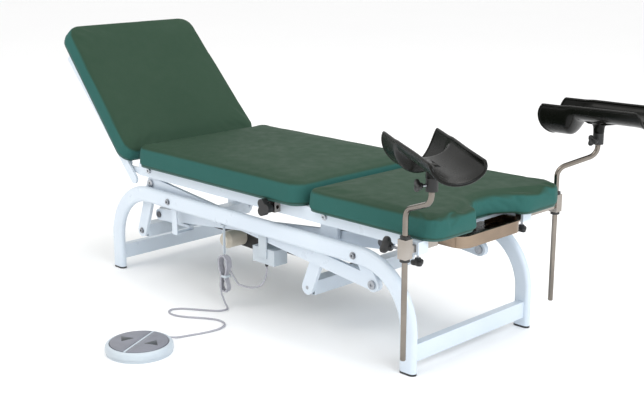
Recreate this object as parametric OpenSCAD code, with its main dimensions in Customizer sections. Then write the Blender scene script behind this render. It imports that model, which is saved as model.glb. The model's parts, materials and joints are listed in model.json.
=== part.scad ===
// Height-adjustable examination couch with a tilting backrest, two leg
// supports, a drain tray and a foot switch. Millimetres, +Z up, +X to the
// foot end, -Y to the attended side. The floor is z = 0.

/* [Base] */
// Width over the two side arches
base_w = 560; // [550:1:570]
// Distance between the leg centre lines of one arch
leg_span = 1376; // [1366:2:1386]
// Height of the arch rail's centre line
rail_z = 302.5; // [300:0.5:304]
// Height of the arch tube's flat-oval section
tube_h = 55; // [50:1:56]
// Thickness of the arch tube's section
tube_t = 25; // [22:1:26]
// Centre-line radius of the arch bends
bend_r = 185; // [175:1:190]

/* [Pads] */
// Half width of the seat and foot pads
pad_half_w = 302; // [296:1:306]
// Height of the seat pad's top face
seat_top = 480; // [476:1:484]
// Height of the foot pad's top face
foot_top = 472; // [466:1:474]
// Corner radius of the pads in plan
pad_corner_r = 52; // [40:1:56]
// Half width of the cut-out in the foot pad
cutout_half_w = 100; // [90:1:110]
// Depth of the cut-out in the foot pad
cutout_depth = 72; // [60:1:80]

/* [Backrest] */
// Tilt of the backrest above flat, in degrees
back_tilt = 47; // [10:1:60]
// Length of the backrest pad
back_len = 572; // [540:1:590]
// Thickness of the backrest pad
back_thick = 55; // [45:1:58]

/* [Leg supports] */
// Diameter of the support rods
rod_d = 16; // [14:1:18]
// Sideways offset of a rod's upper end
rod_offset = 118; // [100:1:125]
// Length of the leg troughs
trough_len = 340; // [300:5:360]
// Turn of the near trough from the couch axis, in degrees
near_trough_turn = -27; // [-45:1:0]
// Turn of the far trough from the couch axis, in degrees
far_trough_turn = 6; // [0:1:45]

/* [Foot switch] */
// Outer diameter of the foot switch
switch_d = 200; // [180:2:210]
// Height of the foot switch
switch_h = 34; // [32:1:38]

/* [Hidden] */
$fn = 48;
eps = 0.01;

// The whole couch is moved so that its outline is centred on the origin.
centre_shift = [-25, 137.3, 0];

// Side arches
arch_out = base_w / 2;
arch_in = arch_out - tube_t;
arch_mid = arch_out - tube_t / 2;
leg_x = leg_span / 2;
bend_x = leg_x - bend_r;
bend_z = rail_z - bend_r;
wall = 2;
cap_h = 6;
bolt_head_x = -376;
bolt_foot_x = 485;
arch_bolt_z = 301;
channel_plate = 4;
thin_nut = 2.5;

// Scissor lift: pivots of the outer arms and, mirrored, of the inner arms
pivot_low = [538, 221];
pivot_high = [-510, 338];
roller_low = [-510, 221];
roller_high = [538, 338];
pivot_mid = (pivot_low + pivot_high) / 2;
arm_w = 44;
arm_in = 236;
arm_out = 248;
inner_in = 206;
inner_out = 218;
inner_w = 40;
pin_r = 10;
fit = 0.05;
roller_r = 14;
roller_in = 186;
roller_out = 200;
axle_r = 8;
roller_travel = 125;

// Cranks and their torsion tubes
crank_low = [-574, 156];
hanger_top = [351, 385];
hanger_low = [251, 139];
hanger_in = 223;
hanger_out = 235;
crank_w = 45;
torsion = 44;

// Upper frame
frame_out = 260;
frame_in = 235;
frame_low = 361;
frame_high = 403;
frame_head = -560;
frame_foot = 700;
board_t = 12;
board_inset = 10;
seat_x = [-540, 278];
foot_x = [292, 800];
cutout_flare = 30;
board_top = frame_high + board_t;
cross_x = [-560, -110, 265, 380, 560, 675];
cross_w = 25;
frame_bolts = [[-502, 385], [351, 385]];

// Backrest, in its own directions: "up" along the board, "out" to the pad
back_hinge = [-630, 395];
side_in = 262;
side_out = 270;
back_pad_start = -15;
back_board_out = 18;
back_pad_out = 30;
back_top_w = 287;
lever_len = 70;

// Linear actuator
act_head = [-528, 156];
act_foot = [203, 139];
act_pin_r = 6;
act_tilt = atan2(act_head[1] - act_foot[1], act_foot[0] - act_head[0]);
act_len = norm(act_foot - act_head);
act_tube_r = 20;
act_rod_r = 11;
ear_in = 14;
ear_out = 20;

// Leg supports
rod_r = rod_d / 2;
post = [736, 346];
rod_low = 76;
rod_bend_z = 470;
rod_top = 600;
bush_r = 11;
block_low = 362;
block_high = 416;
block_w = 28;
arm_z = 385;
arm_sq = 20;
trough_half = 78;
trough_wall = 5;
trough_rim_z = 692;
trough_depth = 54;
lobe_depth = 98;
near_trough_tip = 5;
tilt_z = 612;
near_offset_turn = -16.5;
far_offset_turn = 45.5;
near_socket_y = -293;
far_socket_y = 175;
socket_w = 40;
bend_turn = 70;
rod_bend_r = 36;
bend_lap = 1;
bend_slack = 0.1;
slant_dir = [sin(bend_turn), cos(bend_turn)];
bend_start = [rod_bend_r * (1 - cos(bend_turn)), rod_bend_z + rod_bend_r * sin(bend_turn)];
slant = (rod_offset - 2 * bend_start[0]) / sin(bend_turn);
bend_end = bend_start + slant * slant_dir;

// Drain tray
tray_half_w = 150;
tray_back = 600;
tray_front = 768;
tray_low = 348;

// Foot switch
switch_pos = [27, -700];
switch_seam = 8;
switch_gland_z = 13.5;
pedal_r = 86;
pedal_turn = 25;

// Switch cord: hand-placed route points, round numbers
cord_r = 3;
box_pos = [20, -250, 178];
box_size = [100, 55, 50];
gland = [70, -236, 178];
hook = [-98, -268];
route_upper = [
    [70, -236, 166], [70, -237, 150], [66, -240, 125], [54, -245, 104],
    [34, -251, 92], [6, -257, 86], [-22, -262, 86], [-46, -266, 93],
    [-62, -268, 99], [-68, -268, 100], [-74, -268, 100]];
route_lower = [
    [-98, -268, 46], [-99, -269, 30], [-92, -272, 14], [-76, -278, 5],
    [-62, -294, 3.2], [-70, -320, 3.2], [-100, -344, 3.2], [-140, -370, 3.2],
    [-172, -394, 3.2], [-186, -420, 3.2], [-172, -442, 3.2], [-138, -446, 3.2],
    [-96, -428, 3.2], [-52, -398, 3.2], [-6, -376, 3.2], [36, -384, 3.2],
    [56, -420, 3.2], [52, -468, 3.2], [36, -520, 3.2], [26, -560, 5],
    [27, -582, 11], [27, -590, 13.5]];
hank_low = 46;
hank_high = 176;
hank_w = 44;
hank_t = 22;

// ---- helpers ----

// Extrude a shape drawn in the X-Z plane from y0 to y1
module slab(y0, y1)
    translate([0, y1, 0]) rotate([90, 0, 0]) linear_extrude(height = y1 - y0) children();

module y_rod(p, r, y0, y1)
    translate([p[0], y1, p[1]]) rotate([90, 0, 0]) cylinder(r = r, h = y1 - y0);

module both_sides() {
    children();
    mirror([0, 1, 0]) children();
}

module span_box(low, high)
    translate(low) cube(high - low);

// Outline of a flat bar with round ends between two points of the X-Z plane
function link_pts(a, b, w) = let (turn = atan2(b[1] - a[1], b[0] - a[0])) concat(
    [for (t = [90:15:270]) a + w / 2 * [cos(turn + t), sin(turn + t)]],
    [for (t = [-90:15:90]) b + w / 2 * [cos(turn + t), sin(turn + t)]]);

module link_2d(a, b, w) polygon(link_pts(a, b, w));

module oval_2d(h, t) {
    square([h - t, t], center = true);
    for (s = [-1, 1]) translate([s * (h - t) / 2, 0]) circle(d = t);
}

module arch_section()
    difference() {
        oval_2d(tube_h, tube_t);
        oval_2d(tube_h - 2 * wall, tube_t - 2 * wall);
    }

// Square tube of outer size [x, y, z] with its long side along one axis
module box_tube(low, high, axis) {
    inset = [for (i = [0:2]) i == axis ? -1 : wall];
    difference() {
        span_box(low, high);
        span_box(low + inset, high - inset);
    }
}

// Button-head bolt on the outer side, pointing to -Y, with washer and nut
module side_bolt(p, y_face, y_nut, nut_h = 5) {
    difference() {
        union() {
            y_rod(p, 11, y_face - 1.5, y_face);
            y_rod(p, 8, y_face - 6, y_face - 1.5);
        }
        y_rod_hex(p, 4, y_face - 7, y_face - 3);
    }
    y_rod(p, 5.5, y_face - eps, y_nut + nut_h);
    y_rod_hex(p, 9, y_nut, y_nut + nut_h);
}

module y_rod_hex(p, r, y0, y1)
    translate([p[0], y1, p[1]]) rotate([90, 0, 0]) cylinder(r = r, h = y1 - y0, $fn = 6);

// Plan outline of a rectangle with four round corners
module round_rect(x0, x1, half_w, r) {
    translate([x0, -half_w + r]) square([x1 - x0, 2 * (half_w - r)]);
    translate([x0 + r, -half_w]) square([x1 - x0 - 2 * r, 2 * half_w]);
    for (x = [x0 + r, x1 - r], y = [-half_w + r, half_w - r]) translate([x, y]) circle(r = r);
}

// Three-lobed hand knob standing on z = 0
module lobed_knob(r, h) {
    for (a = [0, 120, 240]) rotate(a) translate([r * 0.5, 0, 0]) cylinder(r = r * 0.5, h = h);
    cylinder(r = r * 0.62, h = h);
}

// ---- base ----

module side_arch(y) {
    translate([0, y, 0]) {
        for (s = [-1, 1]) {
            translate([s * leg_x, 0, cap_h]) linear_extrude(height = bend_z - cap_h) arch_section();
            translate([s * bend_x, 0, bend_z]) rotate([90, 0, 0]) rotate([0, 0, s > 0 ? 0 : 90])
                rotate_extrude(angle = 90) translate([bend_r, 0]) arch_section();
        }
        difference() {
            translate([-bend_x, 0, rail_z]) rotate([0, 90, 0])
                linear_extrude(height = 2 * bend_x) arch_section();
            for (x = [bolt_head_x, bolt_foot_x]) y_rod([x, arch_bolt_z], 6, -tube_t, tube_t);
        }
    }
}

module near_side_arch() color("white") side_arch(-arch_mid);
module far_side_arch() color("white") side_arch(arch_mid);

module cross_tube(x)
    box_tube([x - 12.5, -arch_in, 33], [x + 12.5, arch_in, 84], 1);

module cross_tubes() color("white") for (s = [-1, 1]) cross_tube(s * leg_x);

module leg_end_caps() color("black")
    for (sx = [-1, 1], sy = [-1, 1]) translate([sx * leg_x, sy * arch_mid, 0]) {
        linear_extrude(height = cap_h) oval_2d(tube_h, tube_t);
        translate([0, 0, cap_h]) linear_extrude(height = 14)
            oval_2d(tube_h - 2 * wall - 1, tube_t - 2 * wall - 1);
    }

module lower_pivot_brackets() color("white")
    both_sides() slab(-arch_in, -arch_in + 6) difference() {
        link_2d([bolt_foot_x, arch_bolt_z], pivot_low, 44);
        translate([bolt_foot_x, arch_bolt_z]) circle(r = 6);
        translate(pivot_low) circle(r = pin_r);
    }

module lower_roller_channels() color("white")
    both_sides() {
        x0 = roller_low[0] - 19;
        x1 = roller_low[0] + roller_travel + 20;
        z0 = roller_low[1];
        slab(-arch_in, -arch_in + channel_plate) difference() {
            translate([bolt_head_x - 13, z0 - 39]) square([26, arch_bolt_z + 16 - z0 + 39]);
            translate([bolt_head_x, arch_bolt_z]) circle(r = 6);
        }
        span_box([bolt_head_x - 13, -arch_in + channel_plate - eps, z0 - 39],
            [bolt_head_x + 13, -180, z0 - 33]);
        span_box([x0, -184, z0 - 33 - eps], [x1, -180, z0 + 20]);
        span_box([x0, -202, z0 - 20], [x1, -184 + eps, z0 - roller_r - 0.2]);
        span_box([x0, -202, z0 + roller_r + 0.2], [x1, -184 + eps, z0 + 20]);
    }

// Arch bolts and the two lower pivot pins of the outer arms
module base_bolts() color("silver")
    both_sides() {
        side_bolt([bolt_head_x, arch_bolt_z], -arch_out, -arch_in + channel_plate, thin_nut);
        side_bolt([bolt_foot_x, arch_bolt_z], -arch_out, -arch_in + 6);
        y_rod(pivot_low, pin_r, -arch_in, -arm_in + 0.5);
        difference() {
            y_rod(pivot_low, 13, -arch_in - 6, -arch_in);
            y_rod_hex(pivot_low, 5, -arch_in - 7, -arch_in - 3);
        }
        y_rod(pivot_low, 14, -arm_in + 0.5, -arm_in + 5);
    }

// Closed control box, hung from the near arch by a flange
module control_box() color("gainsboro") {
    low = box_pos;
    high = box_pos + box_size;
    difference() {
        span_box(low, high);
        span_box(low + [3, 3, 3], high - [3, 3, 3]);
        translate([gland[0], gland[1], low[2] - 1]) cylinder(r = 6, h = 6);
    }
    span_box([low[0] + 32, -254.5, low[2] + 20], [low[0] + 68, -250 + eps, rail_z]);
}

module cord_gland() color("dimgray")
    translate([gland[0], gland[1], 0]) difference() {
        union() {
            translate([0, 0, gland[2] - 12]) cylinder(r1 = 4.5, r2 = 7, h = 12);
            translate([0, 0, gland[2] - eps]) cylinder(r = 5.9, h = 3);
        }
        translate([0, 0, gland[2] - 13]) cylinder(r = cord_r, h = 18);
    }

// Clip under the near arch rail with a strap down to the tied hank
module cord_hook() color("gainsboro") {
    low = rail_z - tube_h / 2;
    x = hook[0];
    y = hook[1];
    span_box([x - 10, y - 8, low - 4], [x + 10, y + 8, low]);
    span_box([x - 1.5, y - 4, hank_high], [x + 1.5, y + 4, low - 4 + eps]);
}

module foot_switch_base() color("gainsboro")
    translate([switch_pos[0], switch_pos[1], 0]) {
        difference() {
            cylinder(d = switch_d - 6, h = switch_seam, $fn = 96);
            translate([0, 0, 3]) cylinder(d = switch_d - 14, h = switch_seam, $fn = 96);
        }
        for (a = [45:90:315]) rotate(a) translate([80, 0, 2.9]) cylinder(r = 5, h = 10);
    }

module foot_switch_shell() color("gainsboro")
    translate([switch_pos[0], switch_pos[1], 0]) difference() {
        union() {
            translate([0, 0, switch_seam]) cylinder(d = switch_d, h = 14, $fn = 96);
            translate([0, 0, switch_seam + 14])
                cylinder(d1 = switch_d, d2 = switch_d - 12, h = switch_h - 26, $fn = 96);
            translate([0, 96, switch_gland_z]) rotate([-90, 0, 0]) cylinder(r = 5, h = 14);
        }
        translate([0, 0, switch_seam - 1]) cylinder(d = switch_d - 8, h = 11, $fn = 96);
        translate([0, 0, switch_seam]) cylinder(d = switch_d - 34, h = 12.5, $fn = 96);
        translate([0, 90, switch_gland_z]) rotate([-90, 0, 0]) cylinder(r = cord_r, h = 22);
        linear_extrude(height = 60) rotate(pedal_turn) for (s = [-1, 1]) pedal_2d(s, 0.6);
    }

// Half-disc pedal: the raise pedal is on the -X side, the lower pedal on the +X side
module pedal_2d(side, grow)
    difference() {
        circle(r = pedal_r + grow, $fn = 96);
        translate([side > 0 ? -100 : -4 + grow, -100]) square([104 - grow, 200]);
    }

module pedal(side) {
    translate([switch_pos[0], switch_pos[1], 0]) rotate(pedal_turn) {
        translate([0, 0, switch_h - 11]) linear_extrude(height = 10) pedal_2d(side, 0);
        translate([side * 40, 0, switch_h - 18]) cylinder(r = 6, h = 8);
    }
}

module raise_button() color("gray") pedal(-1);
module lower_button() color("gray") pedal(1);

// ---- cord ----

function unit(v) = v / norm(v);
function mid_dir(p, i) = unit(p[min(i + 1, len(p) - 1)] - p[max(i - 1, 0)]);
// Catmull-Rom point between p[i] and p[i + 1]
function blend_at(p, i, t) = let (
    a = p[max(i - 1, 0)], b = p[i], c = p[i + 1], d = p[min(i + 2, len(p) - 1)])
    0.5 * (2 * b + (c - a) * t + (2 * a - 5 * b + 4 * c - d) * t * t
        + (3 * b - a - 3 * c + d) * t * t * t);
function smooth(p, n) = concat(
    [for (i = [0:len(p) - 2], k = [0:n - 1]) blend_at(p, i, k / n)], [p[len(p) - 1]]);

module cord_tube(route, steps) {
    sides = 8;
    path = smooth(route, steps);
    rings = [for (i = [0:len(path) - 1]) let (
        d = mid_dir(path, i),
        ref = abs(d[2]) > 0.9 ? [0, 1, 0] : [0, 0, 1],
        u = unit(cross(ref, d)), v = cross(d, u))
        [for (k = [0:sides - 1]) path[i] + cord_r * (cos(k * 360 / sides) * u + sin(k * 360 / sides) * v)]];
    pts = [for (r = rings) each r];
    n = len(path);
    faces = concat(
        [[for (k = [0:sides - 1]) k]],
        [for (i = [0:n - 2], k = [0:sides - 1]) [
            i * sides + k, (i + 1) * sides + k,
            (i + 1) * sides + (k + 1) % sides, i * sides + (k + 1) % sides]],
        [[for (k = [sides - 1:-1:0]) (n - 1) * sides + k]]);
    polyhedron(points = pts, faces = faces, convexity = 6);
}

module switch_cord_upper() color("lightgray") cord_tube(route_upper, 2);
module switch_cord_lower() color("lightgray") cord_tube(route_lower, 2);

module cord_hank() color("lightgray")
    translate([hook[0] - hank_w / 2 + 2, hook[1] + hank_t / 2, 0]) rotate([90, 0, 0])
        linear_extrude(height = hank_t) {
            translate([0, hank_low + hank_w / 2]) square([hank_w, hank_high - hank_low - hank_w]);
            for (z = [hank_low + hank_w / 2, hank_high - hank_w / 2])
                translate([hank_w / 2, z]) circle(d = hank_w);
        }

// ---- scissor lift ----

module outer_arm(y0, y1) slab(y0, y1) difference() {
    union() {
        link_2d(pivot_low, pivot_high, arm_w);
        link_2d(pivot_high, crank_low, crank_w);
    }
    for (p = [pivot_low, pivot_high]) translate(p) circle(r = pin_r + fit);
    translate(pivot_mid) circle(r = pin_r);
    translate(crank_low) circle(r = 6);
}

module near_outer_arm() color("white") outer_arm(-arm_out, -arm_in);
module far_outer_arm() color("white") outer_arm(arm_in, arm_out);

// Two ears and a pin that carry one end of the actuator
module actuator_ears(root, pin) {
    for (s = [-1, 1]) slab(s > 0 ? ear_in : -ear_out, s > 0 ? ear_out : -ear_in) difference() {
        union() {
            translate([min(root, pin[0]), pin[1] - 14]) square([abs(root - pin[0]), 28]);
            translate(pin) circle(r = 14);
        }
        translate(pin) circle(r = act_pin_r);
    }
    y_rod(pin, act_pin_r, -ear_out - 5, ear_out + 5);
    for (y = [-ear_out - 5, ear_out]) y_rod(pin, 9, y, y + 5);
}

module torsion_tube(p, half_len)
    box_tube([p[0] - torsion / 2, -half_len, p[1] - torsion / 2],
        [p[0] + torsion / 2, half_len, p[1] + torsion / 2], 1);

module head_torsion_tube() color("white") {
    torsion_tube(crank_low, arm_in);
    actuator_ears(crank_low[0] + torsion / 2, act_head);
}

module outer_arm_pins() color("silver") both_sides() {
    y_rod(pivot_mid, pin_r, -arm_out, -inner_in + 2);
    y_rod(pivot_mid, 14, -arm_out - 5, -arm_out);
    y_rod(pivot_mid, 15, -arm_in, -inner_out - 0.5);
    y_rod(pivot_mid, 14, -inner_in + 0.5, -inner_in + 5);
    side_bolt(crank_low, -arm_out, -arm_in);
}

module inner_scissor_frame() color("white") {
    both_sides() slab(-inner_out, -inner_in) difference() {
        link_2d(roller_low, roller_high, inner_w);
        translate(pivot_mid) circle(r = pin_r + fit);
        for (p = [roller_low, roller_high]) translate(p) circle(r = axle_r + fit);
    }
    tie = roller_low + 0.77 * (roller_high - roller_low);
    box_tube([tie[0] - 15, -inner_in, tie[1] - 15], [tie[0] + 15, inner_in, tie[1] + 15], 1);
}

module roller_set(p) {
    both_sides() {
        y_rod(p, axle_r, -inner_out - 4, -roller_in + 1);
        y_rod(p, roller_r, -roller_out, -roller_in);
        y_rod(p, 11, -inner_out - 4, -inner_out - 0.5);
    }
}

module lower_roller_set() color("dimgray") roller_set(roller_low);
module upper_roller_set() color("dimgray") roller_set(roller_high);

// ---- upper frame ----

module frame_rail() {
    difference() {
        box_tube([frame_head, -frame_out, frame_low], [frame_foot, -frame_in, frame_high], 0);
        for (p = frame_bolts) y_rod(p, 6, -frame_out - 1, -frame_in + 1);
    }
    slab(-frame_in, -frame_in + 6) difference() {
        link_2d([pivot_high[0], 380], pivot_high, arm_w);
        translate(pivot_high) circle(r = pin_r);
        translate(frame_bolts[0]) circle(r = 6);
    }
}

module upper_frame() color("white") {
    both_sides() frame_rail();
    for (x = cross_x) {
        low = x == cross_x[5] ? frame_high - 17 : frame_low;
        box_tube([x, -frame_in, low], [x + cross_w, frame_in, frame_high], 1);
    }
}

module upper_roller_channels() color("white") both_sides() {
    z0 = roller_high[1];
    x0 = roller_high[0] - roller_travel - 20;
    x1 = roller_high[0] + 19;
    span_box([x0, -202, z0 - 21], [x1, -184 + eps, z0 - roller_r - 0.2]);
    span_box([x0, -184, z0 - 21], [x1, -180, frame_low]);
    span_box([cross_x[3], -202, z0 + roller_r + 0.2], [cross_x[4] + cross_w, -180, frame_low]);
}

module foot_hanger() color("white") {
    both_sides() slab(-hanger_out, -hanger_in) difference() {
        union() {
            link_2d([hanger_top[0], frame_high - crank_w / 2], hanger_low, crank_w);
            translate([hanger_top[0] - 42, 316]) square([70, 50]);
        }
        translate(hanger_top) circle(r = 6);
        translate(hanger_low) circle(r = 6);
    }
    torsion_tube(hanger_low, hanger_in);
    actuator_ears(hanger_low[0] - torsion / 2, act_foot);
}

// Frame and hanger bolts, and the two upper pivot pins of the outer arms
module frame_bolts() color("silver") both_sides() {
    side_bolt(frame_bolts[0], -frame_out, -frame_in + 6);
    side_bolt(frame_bolts[1], -frame_out, -hanger_in);
    y_rod(hanger_low, 6, -hanger_out, -hanger_in);
    y_rod(pivot_high, pin_r, -arm_out - 0.5, -frame_in + 10);
    difference() {
        y_rod(pivot_high, 13, -arm_out - 6, -arm_out - 0.5);
        y_rod_hex(pivot_high, 5, -arm_out - 7, -arm_out - 4);
    }
    y_rod(pivot_high, 14, -frame_in + 6, -frame_in + 10);
}

module backrest_hinge_plates() color("white") both_sides() {
    slab(-frame_out + 2, -frame_out + 10) union() {
        polygon([back_hinge + [0, -18], [frame_head, frame_low], [frame_head, 386],
            back_hinge + [16, -9], back_hinge]);
        translate(back_hinge) circle(r = 18);
    }
    y_rod(back_hinge, 8, -side_out, -frame_out + 2);
    y_rod(back_hinge, 13, -side_in + 0.3, -frame_out + 2);
}

module seat_board() color("tan")
    translate([0, 0, frame_high]) linear_extrude(height = board_t)
        round_rect(seat_x[0] + board_inset, seat_x[1] - board_inset,
                   pad_half_w - board_inset, pad_corner_r - board_inset);

// Foot pad outline: round corners and a flared cut-out at the foot end
module foot_outline(inset) {
    x0 = foot_x[0] + inset;
    x1 = foot_x[1] - inset;
    half = cutout_half_w + inset;
    back = foot_x[1] - cutout_depth - inset;
    flare = cutout_flare;
    difference() {
        round_rect(x0, x1, pad_half_w - inset, pad_corner_r - inset);
        translate([back, -half + flare]) square([x1 - back + 1, 2 * (half - flare)]);
        translate([back + flare, -half]) square([x1 - back, 2 * half]);
        for (s = [-1, 1]) {
            translate([back + flare, s * (half - flare)]) circle(r = flare);
            difference() {
                translate([x1 - flare, s > 0 ? half - eps : -half - flare])
                    square([flare + 1, flare + eps]);
                translate([x1 - flare, s * (half + flare)]) circle(r = flare);
            }
        }
    }
}

module foot_board() color("tan")
    translate([0, 0, frame_high]) linear_extrude(height = board_t) foot_outline(board_inset);

module seat_pad() color("darkgreen")
    translate([0, 0, board_top]) linear_extrude(height = seat_top - board_top)
        round_rect(seat_x[0], seat_x[1], pad_half_w, pad_corner_r);

module foot_pad() color("darkgreen")
    translate([0, 0, board_top]) linear_extrude(height = foot_top - board_top) foot_outline(0);

// C-shaped runners for the tray's side flanges
module tray_runners() color("white") both_sides() {
    top = frame_high - 17;
    x1 = cross_x[5] + cross_w;
    difference() {
        span_box([tray_back + 5, -tray_half_w - 6, top - 12], [x1, -tray_half_w + 7, top]);
        span_box([tray_back, -tray_half_w - 0.5, top - 6.6], [x1 + 1, -tray_half_w + 8, top - 2.5]);
    }
}

module socket(y) {
    difference() {
        union() {
            span_box([718, y - socket_w / 2, arm_z - 18], [754, y + socket_w / 2, frame_high - 1]);
            span_box([frame_foot, y - socket_w / 2, arm_z - 18],
                [718 + eps, y + socket_w / 2, frame_high - 1]);
        }
        span_box([post[0] - arm_sq / 2 - 0.2, y - socket_w, arm_z - arm_sq / 2 - 0.2],
            [post[0] + arm_sq / 2 + 0.2, y + socket_w, arm_z + arm_sq / 2 + 0.2]);
        translate([post[0], y, arm_z - 30]) cylinder(r = 4 + fit, h = 25);
    }
}

module holder_sockets() color("white") {
    socket(near_socket_y);
    span_box([frame_foot, near_socket_y + socket_w / 2 - eps, arm_z - 18], [712, -frame_in, frame_high - 1]);
    socket(far_socket_y);
}

module accessory_clamp() color("silver")
    difference() {
        span_box([118, -frame_out - 24, 366], [162, -frame_out, 398]);
        translate([110, -frame_out - 12, 382]) rotate([0, 90, 0]) cylinder(r = 6.05, h = 60);
        y_rod([140, 382], 4 + fit, -frame_out - 30, -frame_out - 12);
    }

module accessory_knob() color("black") {
    y_rod([140, 382], 4, -frame_out - 34, -frame_out - 18.5);
    translate([140, -frame_out - 34, 382]) rotate([90, 0, 0]) lobed_knob(28, 20);
}

// ---- backrest ----

// Places what is drawn with +X up along the board and +Z out to the pad
module on_backrest()
    translate([back_hinge[0], 0, back_hinge[1]]) rotate([0, back_tilt, 0]) rotate([0, 0, 180]) children();

module backrest_frame() color("white") on_backrest() {
    both_sides() {
        slab(-side_out, -side_in) difference() {
            union() {
                translate([-lever_len, -15]) square([lever_len + 470, back_board_out + 15]);
                translate([-lever_len, 1.5]) circle(r = 16.5);
            }
            circle(r = 8 + fit);
        }
    }
    for (x = [110, 430]) box_tube([x, -side_in, -12], [x + 25, side_in, back_board_out], 1);
}

module back_outline(inset) {
    x0 = back_pad_start + inset;
    x1 = back_pad_start + back_len - inset;
    r = pad_corner_r - inset;
    hull() for (s = [-1, 1]) {
        translate([x0 + r, s * (pad_half_w - inset - r)]) circle(r = r, $fn = 32);
        translate([x1 - r - 6, s * (back_top_w - inset - r - 6)]) circle(r = r + 6, $fn = 32);
    }
}

module backrest_board() color("tan") on_backrest()
    translate([0, 0, back_board_out]) linear_extrude(height = back_pad_out - back_board_out) back_outline(8);

module backrest_pad() color("darkgreen") on_backrest()
    translate([0, 0, back_pad_out]) linear_extrude(height = back_thick) back_outline(0);

// ---- actuator, drawn along +X from its head-end pivot ----

module on_actuator()
    translate([act_head[0], 0, act_head[1]]) rotate([0, act_tilt, 0]) children();

module actuator_gearbox() color("dimgray") on_actuator() difference() {
    union() {
        y_rod([0, 0], 13, -ear_in + 0.4, ear_in - 0.4);
        span_box([0, -12, -12], [201, 12, 12]);
        span_box([200, -32, -34], [325, 32, 30]);
        translate([324, 0, 0]) rotate([0, 90, 0]) cylinder(r = act_tube_r, h = 330);
    }
    y_rod([0, 0], act_pin_r + fit, -20, 20);
    translate([420, 0, 0]) rotate([0, 90, 0]) cylinder(r = act_rod_r + fit, h = 240);
}

module actuator_motor() color("beige") on_actuator() {
    y_rod([240, 0], 30, -100, -32);
    translate([240, -100, 0]) rotate([90, 0, 0]) cylinder(r1 = 30, r2 = 20, h = 14);
}

module actuator_rod() color("silver") on_actuator() difference() {
    union() {
        translate([430, 0, 0]) rotate([0, 90, 0]) cylinder(r = act_rod_r, h = act_len - 430);
        y_rod([act_len, 0], 14, -ear_in + 0.4, ear_in - 0.4);
    }
    y_rod([act_len, 0], 9, -20, 20);
}

// ---- tray ----

module drain_tray() color("silver") {
    top = frame_high - 17 - 3;
    r = 40;
    difference() {
        union() {
            translate([0, 0, tray_low]) linear_extrude(height = top - 3 - tray_low)
                round_rect(tray_back + 6, tray_front, tray_half_w - 8, r);
            translate([0, 0, top - 3]) linear_extrude(height = 3)
                round_rect(tray_back, tray_front, tray_half_w, r);
        }
        translate([0, 0, tray_low + 1.5]) linear_extrude(height = 60)
            round_rect(tray_back + 8, tray_front - 8, tray_half_w - 10, r - 8);
    }
}

// ---- leg supports: side is -1 near, 1 far ----

module holder_arm(side, socket_y) {
    y = side * post[1];
    inner = side < 0 ? socket_y + socket_w / 2 + 50 : socket_y - socket_w / 2;
    difference() {
        union() {
            span_box([post[0] - block_w / 2, y - block_w / 2, block_low],
                [post[0] + block_w / 2, y + block_w / 2, block_high]);
            span_box([post[0] - arm_sq / 2, min(inner, y - side * block_w / 2), arm_z - arm_sq / 2],
                [post[0] + arm_sq / 2, max(inner, y - side * block_w / 2), arm_z + arm_sq / 2]);
        }
        translate([post[0], y, 0]) cylinder(r = bush_r + fit, h = 500);
        translate([post[0] - 40, y, arm_z]) rotate([0, 90, 0]) cylinder(r = 4 + fit, h = 40);
    }
}

module near_holder_arm() color("silver") holder_arm(-1, near_socket_y);
module far_holder_arm() color("silver") holder_arm(1, far_socket_y);

module bush(side) translate([post[0], side * post[1], 0]) difference() {
    union() {
        translate([0, 0, block_low - 8]) cylinder(r = bush_r, h = block_high - block_low + 16);
        translate([0, 0, block_high + 0.3]) cylinder(r = 14, h = 7.7);
        translate([0, 0, block_low - 8]) cylinder(r = 14, h = 7.7);
    }
    cylinder(r = rod_r + fit, h = 500);
}

module near_bush() color("black") bush(-1);
module far_bush() color("black") bush(1);

// One bend of a rod. The straights run bend_lap into it, and it is bend_slack thinner
module rod_bend(centre, from)
    translate([centre[0], 0, centre[1]]) rotate([90, 0, 0]) rotate([0, 0, from])
        rotate_extrude(angle = bend_turn) translate([rod_bend_r, 0]) circle(r = rod_r - bend_slack);

module support_rod(side, turn)
    translate([post[0], side * post[1], 0]) rotate(turn) {
        slant_low = bend_start - bend_lap * slant_dir;
        upper_z = bend_end[1] + rod_bend_r * sin(bend_turn);
        translate([0, 0, rod_low]) cylinder(r = rod_r, h = rod_bend_z + bend_lap - rod_low);
        rod_bend([rod_bend_r, rod_bend_z], 180 - bend_turn);
        translate([slant_low[0], 0, slant_low[1]]) rotate([0, bend_turn, 0])
            cylinder(r = rod_r, h = slant + 2 * bend_lap);
        rod_bend(bend_end + rod_bend_r * [-cos(bend_turn), sin(bend_turn)], -bend_turn);
        translate([rod_offset, 0, upper_z - bend_lap])
            cylinder(r = rod_r, h = rod_top - 2 - upper_z + bend_lap);
    }

module near_rod() color("silver") support_rod(-1, near_offset_turn);
module far_rod() color("silver") support_rod(1, far_offset_turn);

// Places what is drawn around a rod's upper end, +X along the trough
module on_rod(side, offset_turn, trough_turn)
    translate([post[0] + rod_offset * cos(offset_turn),
        side * post[1] + rod_offset * sin(offset_turn), 0]) rotate(trough_turn) children();

module trough_clamp() difference() {
    union() {
        translate([0, 0, rod_top - 30]) cylinder(r = 16, h = 34);
        slab(-6, 6) {
            translate([0, tilt_z]) circle(r = 8);
            translate([-8, rod_top]) square([16, tilt_z - rod_top]);
        }
    }
    translate([0, 0, rod_top - 32]) cylinder(r = rod_r + fit, h = 32);
    y_rod([0, tilt_z], 4 + fit, -10, 10);
    translate([0, -5, rod_top - 14]) rotate([90, 0, 0]) cylinder(r = 4 + fit, h = 20);
}

module near_trough_clamp() color("black") on_rod(-1, near_offset_turn, near_trough_turn) trough_clamp();
module far_trough_clamp() color("black") on_rod(1, far_offset_turn, far_trough_turn) trough_clamp();

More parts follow.
